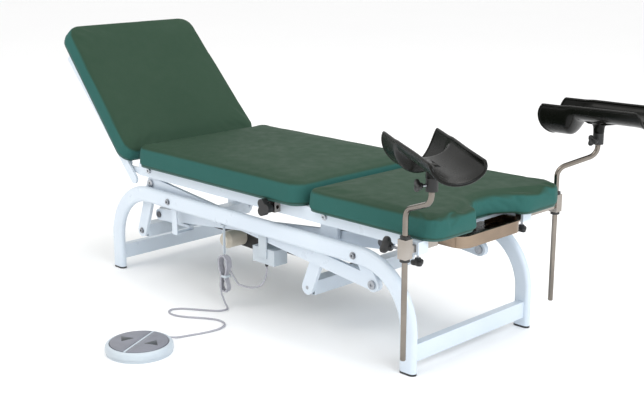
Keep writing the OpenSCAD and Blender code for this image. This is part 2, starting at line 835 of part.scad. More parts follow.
// Section of a leg trough: an arc as deep as given below the rim, trough_half wide each way
module trough_2d(depth, skin) {
    r = (trough_half * trough_half + depth * depth) / (2 * depth);
    translate([-trough_rim_z + depth - r, 0]) difference() {
        circle(r = r - skin, $fn = 96);
        translate([-r - 1, -r - 1]) square([2 * r + 1 - depth, 2 * r + 2]);
    }
}

module trough_part(x0, x1) translate([x0, 0, 0]) rotate([0, 90, 0])
    linear_extrude(height = x1 - x0) children();

// Open channel with a deeper lobe at the head end, on two ears that hold its tilt pin
module trough() {
    step_x = -0.18 * trough_len;
    trough_part(step_x - eps, trough_len / 2) difference() {
        trough_2d(trough_depth, 0);
        trough_2d(trough_depth, trough_wall);
    }
    trough_part(-trough_len / 2, step_x - trough_wall) difference() {
        trough_2d(lobe_depth, 0);
        trough_2d(lobe_depth, trough_wall);
    }
    trough_part(step_x - trough_wall - eps, step_x) difference() {
        trough_2d(lobe_depth, 0);
        trough_2d(trough_depth, trough_wall);
    }
    for (s = [-1, 1]) slab(s > 0 ? 6.5 : -12, s > 0 ? 12 : -6.5) {
        translate([0, tilt_z]) circle(r = 7);
        translate([-7, tilt_z]) square([14, trough_rim_z - trough_depth + 2 - tilt_z]);
    }
    y_rod([0, tilt_z], 4, -12, 12);
}

// Tips what is drawn about a trough's tilt pin, foot end down
module tipped(angle) translate([0, 0, tilt_z]) rotate([0, angle, 0]) translate([0, 0, -tilt_z]) children();

module near_trough() color("black")
    on_rod(-1, near_offset_turn, near_trough_turn) tipped(near_trough_tip) trough();
module far_trough() color("black") on_rod(1, far_offset_turn, far_trough_turn) trough();

// Hand knob with its clamping screw, pointing along +Z from z = 0
module hand_knob(screw, r, h) {
    cylinder(r = 4, h = screw + 1);
    translate([0, 0, screw - 6]) cylinder(r = r * 0.4, h = 7);
    translate([0, 0, screw]) lobed_knob(r, h);
}

module socket_knob(y)
    translate([post[0], y, arm_z - arm_sq / 2 - 0.4]) rotate([180, 0, 0]) hand_knob(28, 20, 14);

module block_knob(side)
    translate([post[0] - bush_r - 0.4, side * post[1], arm_z]) rotate([0, -90, 0]) hand_knob(45, 26, 16);

module trough_knob()
    translate([0, -rod_r - 0.4, rod_top - 14]) rotate([90, 0, 0]) hand_knob(24, 18, 12);

module near_socket_knob() color("black") socket_knob(near_socket_y);
module far_socket_knob() color("black") socket_knob(far_socket_y);
module near_block_knob() color("black") block_knob(-1);
module far_block_knob() color("black") block_knob(1);
module near_trough_knob() color("black") on_rod(-1, near_offset_turn, near_trough_turn) trough_knob();
module far_trough_knob() color("black") on_rod(1, far_offset_turn, far_trough_turn) trough_knob();

// ---- drawing ----

translate(centre_shift) near_side_arch();
translate(centre_shift) far_side_arch();
translate(centre_shift) cross_tubes();
translate(centre_shift) leg_end_caps();
translate(centre_shift) lower_pivot_brackets();
translate(centre_shift) lower_roller_channels();
translate(centre_shift) base_bolts();
translate(centre_shift) control_box();
translate(centre_shift) cord_hook();
translate(centre_shift) cord_gland();
translate(centre_shift) foot_switch_base();
translate(centre_shift) foot_switch_shell();
translate(centre_shift) switch_cord_upper();
translate(centre_shift) switch_cord_lower();
translate(centre_shift) cord_hank();
translate(centre_shift) near_outer_arm();
translate(centre_shift) far_outer_arm();
translate(centre_shift) head_torsion_tube();
translate(centre_shift) outer_arm_pins();
translate(centre_shift) inner_scissor_frame();
translate(centre_shift) lower_roller_set();
translate(centre_shift) upper_roller_set();
translate(centre_shift) upper_frame();
translate(centre_shift) upper_roller_channels();
translate(centre_shift) foot_hanger();
translate(centre_shift) frame_bolts();
translate(centre_shift) backrest_hinge_plates();
translate(centre_shift) seat_board();
translate(centre_shift) foot_board();
translate(centre_shift) seat_pad();
translate(centre_shift) foot_pad();
translate(centre_shift) tray_runners();
translate(centre_shift) holder_sockets();
translate(centre_shift) accessory_clamp();
translate(centre_shift) accessory_knob();
translate(centre_shift) backrest_frame();
translate(centre_shift) backrest_board();
translate(centre_shift) backrest_pad();
translate(centre_shift) actuator_gearbox();
translate(centre_shift) actuator_motor();
translate(centre_shift) actuator_rod();
translate(centre_shift) drain_tray();
translate(centre_shift) near_holder_arm();
translate(centre_shift) far_holder_arm();
translate(centre_shift) near_bush();
translate(centre_shift) far_bush();
translate(centre_shift) near_rod();
translate(centre_shift) far_rod();
translate(centre_shift) near_trough_clamp();
translate(centre_shift) far_trough_clamp();
translate(centre_shift) near_trough();
translate(centre_shift) far_trough();
translate(centre_shift) near_socket_knob();
translate(centre_shift) far_socket_knob();
translate(centre_shift) near_block_knob();
translate(centre_shift) far_block_knob();
translate(centre_shift) near_trough_knob();
translate(centre_shift) far_trough_knob();
translate(centre_shift) raise_button();
translate(centre_shift) lower_button();
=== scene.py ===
import json
import math
import random

import bmesh
import bpy
from mathutils import Matrix, Vector, noise


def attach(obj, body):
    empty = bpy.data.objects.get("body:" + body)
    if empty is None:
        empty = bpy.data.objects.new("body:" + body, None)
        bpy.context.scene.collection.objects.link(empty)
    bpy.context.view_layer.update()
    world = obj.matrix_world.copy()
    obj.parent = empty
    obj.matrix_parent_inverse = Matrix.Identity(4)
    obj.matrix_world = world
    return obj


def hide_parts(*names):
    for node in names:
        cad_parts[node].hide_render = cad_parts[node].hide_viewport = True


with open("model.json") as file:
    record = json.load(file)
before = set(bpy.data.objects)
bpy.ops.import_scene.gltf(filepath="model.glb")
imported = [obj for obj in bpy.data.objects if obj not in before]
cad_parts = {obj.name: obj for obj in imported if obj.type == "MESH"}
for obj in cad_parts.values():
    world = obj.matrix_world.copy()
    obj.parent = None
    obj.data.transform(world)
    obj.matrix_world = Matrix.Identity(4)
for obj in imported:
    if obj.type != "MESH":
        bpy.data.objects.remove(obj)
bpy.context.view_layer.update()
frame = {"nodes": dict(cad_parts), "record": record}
NODES = frame["nodes"]
MM = 0.001
SHIFT = Vector((-0.025, 0.1373, 0.0))      # the couch's outline is centred on the origin
random.seed(7)


def at(x, y, z):
    """A point of the couch's own drawing, in millimetres, as metres in the frame."""
    return Vector((x, y, z)) * MM + SHIFT


# ---------------------------------------------------------------- camera

FOCAL_MM = 62.67
CAMERA_AT = Vector((2.5557, -2.3401, 1.2361))
CAMERA_TURN = 45.293
CAMERA_DOWN = 14.458


def make_camera():
    data = bpy.data.cameras.new("camera")
    data.lens = FOCAL_MM
    data.sensor_width = 36.0
    data.clip_end = 200.0
    camera = bpy.data.objects.new("camera", data)
    bpy.context.scene.collection.objects.link(camera)
    turn = Matrix.Rotation(math.radians(CAMERA_TURN), 4, "Z")
    tip = Matrix.Rotation(math.radians(90.0 - CAMERA_DOWN), 4, "X")
    camera.matrix_world = Matrix.Translation(CAMERA_AT) @ turn @ tip
    bpy.context.scene.camera = camera


# ---------------------------------------------------------------- mesh tools

def new_object(name, mesh, smooth=True):
    obj = bpy.data.objects.new(name, mesh)
    bpy.context.scene.collection.objects.link(obj)
    if smooth:
        for polygon in mesh.polygons:
            polygon.use_smooth = True
    return obj


def mesh_object(name, points, faces, smooth=True):
    mesh = bpy.data.meshes.new(name)
    mesh.from_pydata([tuple(p) for p in points], [], faces)
    bm = bmesh.new()
    bm.from_mesh(mesh)
    bmesh.ops.remove_doubles(bm, verts=bm.verts, dist=1e-6)
    bmesh.ops.recalc_face_normals(bm, faces=bm.faces)
    bm.to_mesh(mesh)
    bm.free()
    return new_object(name, mesh, smooth)


def apply_modifiers(obj):
    bpy.context.view_layer.update()
    deps = bpy.context.evaluated_depsgraph_get()
    mesh = bpy.data.meshes.new_from_object(obj.evaluated_get(deps))
    obj.modifiers.clear()
    old = obj.data
    obj.data = mesh
    bpy.data.meshes.remove(old)
    for polygon in mesh.polygons:
        polygon.use_smooth = True
    return obj


def bevel(obj, width, segments=3, angle=35.0):
    mod = obj.modifiers.new("bevel", "BEVEL")
    mod.width = width
    mod.segments = segments
    mod.limit_method = "ANGLE"
    mod.angle_limit = math.radians(angle)
    return obj


def sweep(name, path, radius, sides=16, caps=True):
    """A round tube along a path of points, with its frame carried along it."""
    points = [Vector(p) for p in path]
    count = len(points)
    radii = radius if isinstance(radius, (list, tuple)) else [radius] * count
    verts, faces = [], []
    tangent = (points[1] - points[0]).normalized()
    side = tangent.orthogonal().normalized()
    for i, point in enumerate(points):
        after = points[min(i + 1, count - 1)]
        before = points[max(i - 1, 0)]
        tangent = (after - before).normalized()
        side = (side - tangent * side.dot(tangent)).normalized()
        other = tangent.cross(side)
        for k in range(sides):
            a = 2 * math.pi * k / sides
            verts.append(point + radii[i] * (math.cos(a) * side + math.sin(a) * other))
    for i in range(count - 1):
        for k in range(sides):
            n = (k + 1) % sides
            faces.append((i * sides + k, i * sides + n, (i + 1) * sides + n, (i + 1) * sides + k))
    if caps:
        faces.append(tuple(range(sides)))
        faces.append(tuple(range((count - 1) * sides, count * sides)))
    return mesh_object(name, verts, faces)


def lathe(name, profile, sides=48, lobes=0, depth=0.0):
    """Turns (radius, height) pairs about Z; lobes > 0 scallops the rim by depth."""
    verts, faces = [], []
    for radius, height in profile:
        for k in range(sides):
            a = 2 * math.pi * k / sides
            r = radius * (1.0 + depth * math.cos(lobes * a)) if lobes else radius
            verts.append(Vector((r * math.cos(a), r * math.sin(a), height)))
    rows = len(profile)
    for i in range(rows - 1):
        for k in range(sides):
            n = (k + 1) % sides
            faces.append((i * sides + k, i * sides + n, (i + 1) * sides + n, (i + 1) * sides + k))
    faces.append(tuple(range(sides)))
    faces.append(tuple(range((rows - 1) * sides, rows * sides)))
    return mesh_object(name, verts, faces)


def place(obj, matrix):
    obj.data.transform(matrix)
    obj.data.update()
    return obj


def axis_matrix(origin, z_axis):
    """Puts something drawn along +Z at origin, along z_axis."""
    turn = Vector((0, 0, 1)).rotation_difference(Vector(z_axis)).to_matrix().to_4x4()
    return Matrix.Translation(origin) @ turn


def join(name, parts):
    bm = bmesh.new()
    for part in parts:
        bm.from_mesh(part.data)
        bpy.data.objects.remove(part)
    mesh = bpy.data.meshes.new(name)
    bm.to_mesh(mesh)
    bm.free()
    return new_object(name, mesh)


def eased(t):
    t = min(1.0, max(0.0, t))
    return t * t * (3.0 - 2.0 * t)


def smooth_path(points, steps):
    """Catmull-Rom points through a given route."""
    p = [Vector(q) for q in points]
    out = []
    for i in range(len(p) - 1):
        a, b, c, d = p[max(i - 1, 0)], p[i], p[i + 1], p[min(i + 2, len(p) - 1)]
        for k in range(steps):
            t = k / steps
            out.append(0.5 * (2 * b + (c - a) * t + (2 * a - 5 * b + 4 * c - d) * t * t
                              + (3 * b - a - 3 * c + d) * t * t * t))
    out.append(p[-1])
    return out


# ---------------------------------------------------------------- materials

class Shader:
    """A small helper around one node-based material."""

    def __init__(self, name, **sockets):
        self.material = bpy.data.materials.new(name)
        self.material.use_nodes = True
        self.tree = self.material.node_tree
        self.bsdf = self.tree.nodes["Principled BSDF"]
        for socket, value in sockets.items():
            self.bsdf.inputs[socket.replace("_", " ")].default_value = value
        self.coords = self.node("ShaderNodeTexCoord").outputs["Object"]

    def node(self, kind, **settings):
        made = self.tree.nodes.new(kind)
        for key, value in settings.items():
            if key in made.inputs:
                made.inputs[key].default_value = value
            else:
                setattr(made, key, value)
        return made

    def link(self, a, b):
        self.tree.links.new(a, b)

    def noise(self, scale, detail=3.0, stretch=None, roughness=0.55):
        texture = self.node("ShaderNodeTexNoise", Scale=scale, Detail=detail, Roughness=roughness)
        self.link(self.stretched(stretch), texture.inputs["Vector"])
        return texture.outputs["Fac"]

    def voronoi(self, scale, feature="F1"):
        texture = self.node("ShaderNodeTexVoronoi", Scale=scale, feature=feature)
        self.link(self.coords, texture.inputs["Vector"])
        return texture.outputs["Distance"]

    def stretched(self, stretch):
        if stretch is None:
            return self.coords
        mapping = self.node("ShaderNodeMapping")
        mapping.inputs["Scale"].default_value = stretch
        self.link(self.coords, mapping.inputs["Vector"])
        return mapping.outputs["Vector"]

    def ramp(self, value, stops):
        ramp = self.node("ShaderNodeValToRGB")
        elements = ramp.color_ramp.elements
        while len(elements) < len(stops):
            elements.new(0.5)
        for element, (position, colour) in zip(elements, stops):
            element.position = position
            element.color = (*colour, 1.0) if len(colour) == 3 else colour
        self.link(value, ramp.inputs["Fac"])
        return ramp.outputs["Color"]

    def grey_ramp(self, value, low, high, start=0.3, end=0.7):
        return self.ramp(value, [(start, (low,) * 3), (end, (high,) * 3)])

    def mix(self, factor, a, b, blend="MIX"):
        mixer = self.node("ShaderNodeMix", data_type="RGBA", blend_type=blend)
        if isinstance(factor, (int, float)):
            mixer.inputs["Factor"].default_value = factor
        else:
            self.link(factor, mixer.inputs["Factor"])
        for value, socket in ((a, mixer.inputs[6]), (b, mixer.inputs[7])):
            if isinstance(value, tuple):
                socket.default_value = (*value, 1.0)
            else:
                self.link(value, socket)
        return mixer.outputs[2]

    def colour(self, value):
        self.link(value, self.bsdf.inputs["Base Color"])

    def roughness(self, value):
        self.link(value, self.bsdf.inputs["Roughness"])

    def bump(self, height, strength, distance=0.001, onto=None):
        bump = self.node("ShaderNodeBump", Strength=strength, Distance=distance)
        self.link(height, bump.inputs["Height"])
        if onto is not None:
            self.link(onto, bump.inputs["Normal"])
        self.link(bump.outputs["Normal"], self.bsdf.inputs["Normal"])
        return bump.outputs["Normal"]


def paint_material(name, light, dark, coat=0.25):
    """Powder coat: fine orange peel, a faint drift of tone and rubbed patches."""
    s = Shader(name, Roughness=0.35, Coat_Weight=coat, Coat_Roughness=0.2)
    s.colour(s.ramp(s.noise(3.0, 4.0), [(0.3, dark), (0.7, light)]))
    s.roughness(s.grey_ramp(s.noise(22.0, 5.0), 0.26, 0.42))
    fine = s.bump(s.noise(900.0, 2.0), 0.12, 0.0004)
    s.bump(s.noise(160.0, 2.0), 0.08, 0.0008, onto=fine)
    return s.material


def steel_material(name, light, dark, stretch=(6.0, 6.0, 260.0), rough=(0.16, 0.3)):
    """Brushed stainless: long fine scratches and soft smudges."""
    s = Shader(name, Metallic=1.0, Anisotropic=0.35)
    s.colour(s.ramp(s.noise(9.0, 5.0), [(0.3, dark), (0.72, light)]))
    s.roughness(s.grey_ramp(s.noise(14.0, 6.0), *rough))
    s.bump(s.noise(14.0, 4.0, stretch), 0.06, 0.0003)
    return s.material


def plastic_material(name, light, dark, rough=(0.4, 0.55), grain=1100.0, depth=0.15):
    """Moulded plastic: fine spark-eroded grain and a faint scuff pattern."""
    s = Shader(name)
    s.colour(s.ramp(s.noise(12.0, 4.0), [(0.3, dark), (0.75, light)]))
    s.roughness(s.grey_ramp(s.noise(40.0, 6.0), *rough))
    s.bump(s.noise(grain, 2.0), depth, 0.0003)
    return s.material


def gloss_material(name):
    """Glossy black shell: thin coat, slightly uneven gloss and waviness."""
    s = Shader(name, Specular_IOR_Level=0.14, Coat_Weight=0.05, Coat_Roughness=0.08)
    s.colour(s.ramp(s.noise(7.0, 4.0), [(0.3, (0.0030, 0.0032, 0.0024)), (0.8, (0.0060, 0.0062, 0.0048))]))
    s.roughness(s.grey_ramp(s.noise(30.0, 5.0), 0.20, 0.30))
    s.bump(s.noise(12.0, 2.0), 0.05, 0.001)
    return s.material


def vinyl_material(name):
    """Green upholstery vinyl: pebbled grain, soft sheen and colour drift.

    A vertex attribute, 1 on a pad's sides and 0 on its face, carries painted side shade:
    the sides are painted a cooler teal and the face a duller olive, for how light falls on them."""
    s = Shader(name, Roughness=0.5, Specular_IOR_Level=0.06)
    # painted side shade: this mask picks the teal that is painted on the pad's sides
    painted_side_shade = s.node("ShaderNodeAttribute", attribute_name="painted_side_shade").outputs["Fac"]
    drift = s.noise(2.2, 3.0)
    # face olive and side teal are one vinyl, painted lighter and cooler on the sides as side shade
    face = s.ramp(drift, [(0.3, (0.025, 0.053, 0.033)), (0.75, (0.030, 0.060, 0.038))])
    side = s.ramp(drift, [(0.3, (0.028, 0.104, 0.092)), (0.75, (0.032, 0.116, 0.102))])
    tone = s.mix(painted_side_shade, face, side)
    speck = s.ramp(s.voronoi(420.0), [(0.0, (0.82,) * 3), (0.6, (1.0,) * 3)])
    s.colour(s.mix(0.6, tone, speck, "MULTIPLY"))
    s.roughness(s.grey_ramp(s.noise(30.0, 6.0), 0.50, 0.64))
    grain = s.bump(s.voronoi(420.0), 0.22, 0.0006)
    crease = s.bump(s.noise(90.0, 5.0), 0.12, 0.0012, onto=grain)
    s.bump(s.noise(11.0, 3.0), 0.05, 0.003, onto=crease)
    return s.material


def make_materials():
    return {
        "white_paint": paint_material("white_paint", (0.63, 0.70, 0.77), (0.58, 0.65, 0.73)),
        "stainless": steel_material("stainless", (0.40, 0.37, 0.34), (0.27, 0.24, 0.21)),
        "steel_bright": steel_material("steel_bright", (0.26, 0.23, 0.20), (0.17, 0.15, 0.13),
                                       (3.0, 3.0, 300.0), (0.1, 0.2)),
        "zinc_bolts": steel_material("zinc_bolts", (0.50, 0.52, 0.55), (0.25, 0.26, 0.28), None, (0.2, 0.38)),
        "black_plastic": plastic_material("black_plastic", (0.018, 0.018, 0.018), (0.009, 0.009, 0.009)),
        "gloss_black": gloss_material("gloss_black"),
        "green_vinyl": vinyl_material("green_vinyl"),
        # the green vinyl over the boards' sides, painted the pads' teal: painted side shade
        "side_shaded_wrap_vinyl": plastic_material("side_shaded_wrap_vinyl", (0.026, 0.092, 0.080), (0.022, 0.080, 0.069),
                                       (0.5, 0.62)),
        "pale_plastic": plastic_material("pale_plastic", (0.50, 0.56, 0.60), (0.43, 0.48, 0.53),
                                         (0.32, 0.45)),
        "tray_steel": steel_material("tray_steel", (0.30, 0.23, 0.17), (0.20, 0.15, 0.11), (4.0, 120.0, 4.0)),
        "cord_grey": plastic_material("cord_grey", (0.40, 0.40, 0.44), (0.32, 0.32, 0.36),
                                      (0.38, 0.5), 1600.0, 0.08),
        "nylon_rollers": plastic_material("nylon_rollers", (0.12, 0.12, 0.13), (0.07, 0.07, 0.08)),
        "cream_enamel": paint_material("cream_enamel", (0.72, 0.66, 0.55), (0.66, 0.60, 0.50)),
        "grey_pedal": plastic_material("grey_pedal", (0.20, 0.205, 0.24), (0.16, 0.165, 0.19), (0.35, 0.5)),
        "dark_mark": plastic_material("dark_mark", (0.035, 0.04, 0.045), (0.025, 0.03, 0.035), (0.3, 0.4)),
    }


MATERIALS = make_materials()


def dress(obj, name):
    obj.data.materials.clear()
    obj.data.materials.append(MATERIALS[name])
    return obj


def finish_cad_nodes():
    # the boards show as the pads' sides and take the teal painted side shade
    finishes = {"drain_tray": "tray_steel", "seat_board": "side_shaded_wrap_vinyl", "foot_board": "side_shaded_wrap_vinyl",
                "backrest_board": "side_shaded_wrap_vinyl"}
    for part in frame["record"]["subparts"]:
        node = NODES[part["node"]]
        node.data.materials.clear()
        finish = finishes.get(part["node"], part["material_slot"])
        node.data.materials.append(MATERIALS[finish])


def piece(obj, body, slot, *nodes, material=None):
    """Dresses a new piece, rides it on a body and lets it stand for CAD nodes."""
    dress(obj, material or slot)
    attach(obj, body)
    if nodes:
        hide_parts(*nodes)
    return obj


# ---------------------------------------------------------------- switch cord

CORD_D = 0.006
CORD_UPPER = [
    (70, -236, 166), (70, -237, 150), (66, -240, 125), (54, -245, 104), (34, -251, 92),
    (6, -257, 86), (-22, -261, 86), (-46, -260, 89)]
CORD_LOWER = [
    (-106, -278, 44), (-99, -277, 30), (-90, -277, 14), (-76, -280, 5), (-62, -294, 3.2),
    (-70, -320, 3.2), (-100, -344, 3.2), (-140, -370, 3.2), (-172, -394, 3.2), (-186, -420, 3.2),
    (-172, -442, 3.2), (-138, -446, 3.2), (-96, -428, 3.2), (-52, -398, 3.2), (-6, -376, 3.2),
    (36, -384, 3.2), (56, -420, 3.2), (52, -468, 3.2), (36, -520, 3.2), (26, -560, 5),
    (27, -582, 11), (27, -592, 13.5)]
HANK_X = -96.0
HANK_HALF = 18.6
HANK_LOW = 49.5
HANK_HIGH = 172.5
HANK_Y = -259.0
TIE_Z = 104.0
CORD_TURNS = 4


TIE_PINCH = 0.46


def hank_pinch(z):
    """The tie draws the runs together, so the hank makes a bow above and one below it."""
    away = min(1.0, abs(z - TIE_Z) / 40.0)
    return TIE_PINCH + (1.0 - TIE_PINCH) * eased(away)


def hank_point(turn):
    """A point of the hank: turn counts from the middle of the right-hand run, upwards."""
    lap = turn % 1.0
    run = (HANK_HIGH - HANK_LOW) / 2 - HANK_HALF
    middle = (HANK_HIGH + HANK_LOW) / 2
    arc = math.pi * HANK_HALF
    around = lap * (2 * arc + 4 * run)
    y = HANK_Y - 6.1 * turn
    for start, sign in ((0.0, 1.0), (2 * run + arc, -1.0)):
        local = around - start
        if local < 0:
            break
        if local <= run:
            spot = (HANK_X + sign * HANK_HALF, y, middle + sign * local)
        elif local <= run + arc:
            a = (local - run) / HANK_HALF
            spot = (HANK_X + sign * HANK_HALF * math.cos(a), y,
                    middle + sign * (run + HANK_HALF * math.sin(a)))
        else:
            spot = (HANK_X - sign * HANK_HALF, y, middle + sign * (2 * run + arc - local))
    pinch = hank_pinch(spot[2])
    drift = 2.2 * math.sin(2.4 * math.floor(turn) + 0.6) * (1.0 - pinch)
    spot = (HANK_X + (spot[0] - HANK_X) * pinch + drift, y,
            middle + (spot[2] - middle) * (1.0 - 0.05 * (0.5 + 0.5 * math.sin(3.1 * turn))))
    return spot


def cord_route():
    steps = 22
    turns = [hank_point(k / steps) for k in range(1, int(steps * (CORD_TURNS - 1 + 0.62)))]
    return smooth_path([at(*p) for p in CORD_UPPER + turns + CORD_LOWER], 4)


def make_cord():
    route = cord_route()
    data = bpy.data.curves.new("switch_cord", "CURVE")
    data.dimensions = "3D"
    data.bevel_depth = CORD_D / 2
    data.bevel_resolution = 4
    spline = data.splines.new("POLY")
    spline.points.add(len(route) - 1)
    for point, spot in zip(spline.points, route):
        point.co = (*spot, 1.0)
    cord = bpy.data.objects.new("switch_cord", data)
    bpy.context.scene.collection.objects.link(cord)
    piece(cord, "base", "cord_grey", "switch_cord_upper", "switch_cord_lower", "cord_hank")
    tie = hank_tie()
    length = sum((b - a).length for a, b in zip(route, route[1:]))
    print("cord length", round(length, 4))


def hank_tie():
    """A flat band pulled tight round both runs of the hank, at the pinch."""
    rows = []
    for rise, grow in ((-4.5, 0.0), (-3.5, 0.9), (3.5, 0.9), (4.5, 0.0)):
        z = TIE_Z + rise
        half_x, half_y = TIE_PINCH * HANK_HALF + 5.2 + grow, 12.4 + grow
        ring = []
        for k in range(48):
            a = 2 * math.pi * k / 48
            x = math.copysign(abs(math.cos(a)) ** 0.35, math.cos(a)) * half_x
            y = math.copysign(abs(math.sin(a)) ** 0.35, math.sin(a)) * half_y
            ring.append(at(HANK_X + x, -268.0 + y, z))
        rows.append(ring)
    verts = [v for ring in rows for v in ring]
    faces = []
    for i in range(len(rows) - 1):
        for k in range(48):
            n = (k + 1) % 48
            faces.append((i * 48 + k, i * 48 + n, i * 48 + 48 + n, i * 48 + 48 + k))
    tie = mesh_object("hank_tie", verts, faces)
    mod = tie.modifiers.new("thick", "SOLIDIFY")
    mod.thickness = 0.0012
    apply_modifiers(tie)
    return piece(tie, "base", "pale_plastic")


# ---------------------------------------------------------------- pads

PAD_VOXEL = 0.008
SWELL_CAP = 0.006
PAD_UNDER = 404.5        # the vinyl wraps the board and is stapled under its edge
SEAT_TOP = 480.0
FOOT_TOP = 472.0
SWELL_ROOM = 3.0
CROWN_ROOM = 3.5
PAD_EDGE = 13.0


def round_corner(centre, radius, start, sweep_deg, steps=10):
    return [Vector((centre[0] + radius * math.cos(math.radians(start + sweep_deg * k / steps)),
                    centre[1] + radius * math.sin(math.radians(start + sweep_deg * k / steps))))
            for k in range(steps + 1)]


def rectangle_outline(x0, x1, half_low, half_high, r_low, r_high):
    """Counter-clockwise; half_low is the half width at x0 and half_high at x1."""
    return (round_corner((x1 - r_high, half_high - r_high), r_high, 0, 90)
            + round_corner((x0 + r_low, half_low - r_low), r_low, 90, 90)
            + round_corner((x0 + r_low, -half_low + r_low), r_low, 180, 90)
            + round_corner((x1 - r_high, -half_high + r_high), r_high, 270, 90))


def foot_pad_outline(x0, x1, half, r, notch, depth, flare):
    """A rectangle with a shallow bay, notch wide each way, cut into its x1 end."""
    bay = [Vector((x1 - depth + (depth - flare) * abs(k / 8) ** 2.2, notch * k / 8))
           for k in range(-8, 9)]
    return (round_corner((x0 + r, half - r), r, 90, 90)
            + round_corner((x0 + r, -half + r), r, 180, 90)
            + round_corner((x1 - r, -half + r), r, 270, 90)
            + round_corner((x1 - flare, -notch - flare), flare, 0, 90)
            + bay[1:-1]
            + round_corner((x1 - flare, notch + flare), flare, 270, 90)
            + round_corner((x1 - r, half - r), r, 0, 90))


def pad_body(name, outline, thick, edge_r, frame_matrix):
    """A pad between its flat back (local z 0) and its face (z thick), in millimetres."""
    bm = bmesh.new()
    back = [bm.verts.new((p.x * MM, p.y * MM, 0.0)) for p in outline]
    base = bm.faces.new(back)
    base.normal_update()
    if base.normal.z > 0:
        base.normal_flip()
    made = bmesh.ops.extrude_face_region(bm, geom=[base])
    top = [v for v in made["geom"] if isinstance(v, bmesh.types.BMVert)]
    bmesh.ops.translate(bm, verts=top, vec=(0, 0, thick * MM))
    bmesh.ops.recalc_face_normals(bm, faces=bm.faces)
    mesh = bpy.data.meshes.new(name)
    bm.to_mesh(mesh)
    bm.free()
    obj = new_object(name, mesh)
    soften = obj.modifiers.new("soften", "BEVEL")
    soften.width = edge_r * MM
    soften.segments = 6
    soften.limit_method = "ANGLE"
    soften.angle_limit = math.radians(50)
    apply_modifiers(obj)
    remesh = obj.modifiers.new("remesh", "REMESH")
    remesh.mode = "VOXEL"
    remesh.voxel_size = PAD_VOXEL
    apply_modifiers(obj)
    relax = obj.modifiers.new("relax", "SMOOTH")
    relax.factor = 0.5
    relax.iterations = 4
    apply_modifiers(obj)
    swell(obj, thick * MM)
    sub = obj.modifiers.new("sub", "SUBSURF")
    sub.levels = 1
    sub.render_levels = 1
    apply_modifiers(obj)
    ripple_and_side_shade(obj, thick * MM)
    place(obj, frame_matrix)
    return obj


def swell(obj, thick):
    """Inflates the vinyl by cloth simulation, held at its back and capped."""
    before = [v.co.copy() for v in obj.data.vertices]
    group = obj.vertex_groups.new(name="held")
    for v in obj.data.vertices:
        held = 1.0 if v.co.z < 0.25 * thick else 0.0
        group.add([v.index], held, "REPLACE")
    cloth = obj.modifiers.new("cloth", "CLOTH")
    cloth.settings.quality = 4
    cloth.settings.mass = 0.3
    cloth.settings.tension_stiffness = 12.0
    cloth.settings.compression_stiffness = 12.0
    cloth.settings.bending_stiffness = 3.0
    cloth.settings.use_pressure = True
    cloth.settings.uniform_pressure_force = 4.0
    cloth.settings.vertex_group_mass = "held"
    cloth.settings.effector_weights.gravity = 0.0
    cloth.collision_settings.use_collision = False
    scene = bpy.context.scene
    for step in range(1, 21):
        scene.frame_set(step)
    apply_modifiers(obj)
    scene.frame_set(1)
    for v, old in zip(obj.data.vertices, before):
        move = v.co - old
        cap = SWELL_CAP * min(1.0, max(0.15, old.z / thick))
        if move.length > cap:
            move *= cap / move.length
        v.co = old + move
    obj.vertex_groups.clear()


def ripple_and_side_shade(obj, thick):
    """Faint hand-made unevenness of the face, and a painted side shade mask: 1 on the sides, 0 on the face.
    """
    mesh = obj.data
    for v in mesh.vertices:
        lift = v.co.z / thick
        if lift > 0.5:
            ripple = noise.noise(v.co * 9.0) * 0.0009 + noise.noise(v.co * 31.0) * 0.00025
            v.co.z += ripple
    mesh.update()
    # painted side shade mask: rises towards 1 where the surface normal turns sideways
    painted_side_shade = mesh.attributes.new("painted_side_shade", "FLOAT", "POINT")
    normals = mesh.vertex_normals
    for i, v in enumerate(mesh.vertices):
        flat = abs(normals[i].vector.z)
        painted_side_shade.data[i].value = min(1.0, max(0.0, (0.80 - flat) / 0.45))


def make_pads():
    lying = Matrix.Translation(at(0, 0, PAD_UNDER))
    seat = pad_body("seat_cushion",
                    rectangle_outline(-540 + SWELL_ROOM, 278 - SWELL_ROOM, 302 - SWELL_ROOM,
                                      302 - SWELL_ROOM, 50, 50),
                    SEAT_TOP - PAD_UNDER - CROWN_ROOM, PAD_EDGE, lying)
    foot = pad_body("foot_cushion",
                    foot_pad_outline(292 + SWELL_ROOM, 800 - SWELL_ROOM, 302 - SWELL_ROOM, 50, 100, 72, 30),
                    FOOT_TOP - PAD_UNDER - CROWN_ROOM, PAD_EDGE, lying)
    tilt = math.radians(47)
    hinge = at(-630, 0, 395)
    up = Vector((-math.cos(tilt), 0, math.sin(tilt)))
    out = Vector((math.sin(tilt), 0, math.cos(tilt)))
    across = out.cross(up)
    leaning = Matrix.Translation(hinge + out * 19.5 * MM) @ Matrix((up, across, out)).transposed().to_4x4()
    back = pad_body("back_cushion",
                    rectangle_outline(-15 + SWELL_ROOM, 557 - SWELL_ROOM, 302 - SWELL_ROOM,
                                      287 - SWELL_ROOM, 50, 56), 62, PAD_EDGE, leaning)
    for obj, body, node in ((seat, "upper_frame", "seat_pad"), (foot, "upper_frame", "foot_pad"),
                            (back, "backrest", "backrest_pad")):
        piece(obj, body, "green_vinyl", node)


# ---------------------------------------------------------------- leg supports

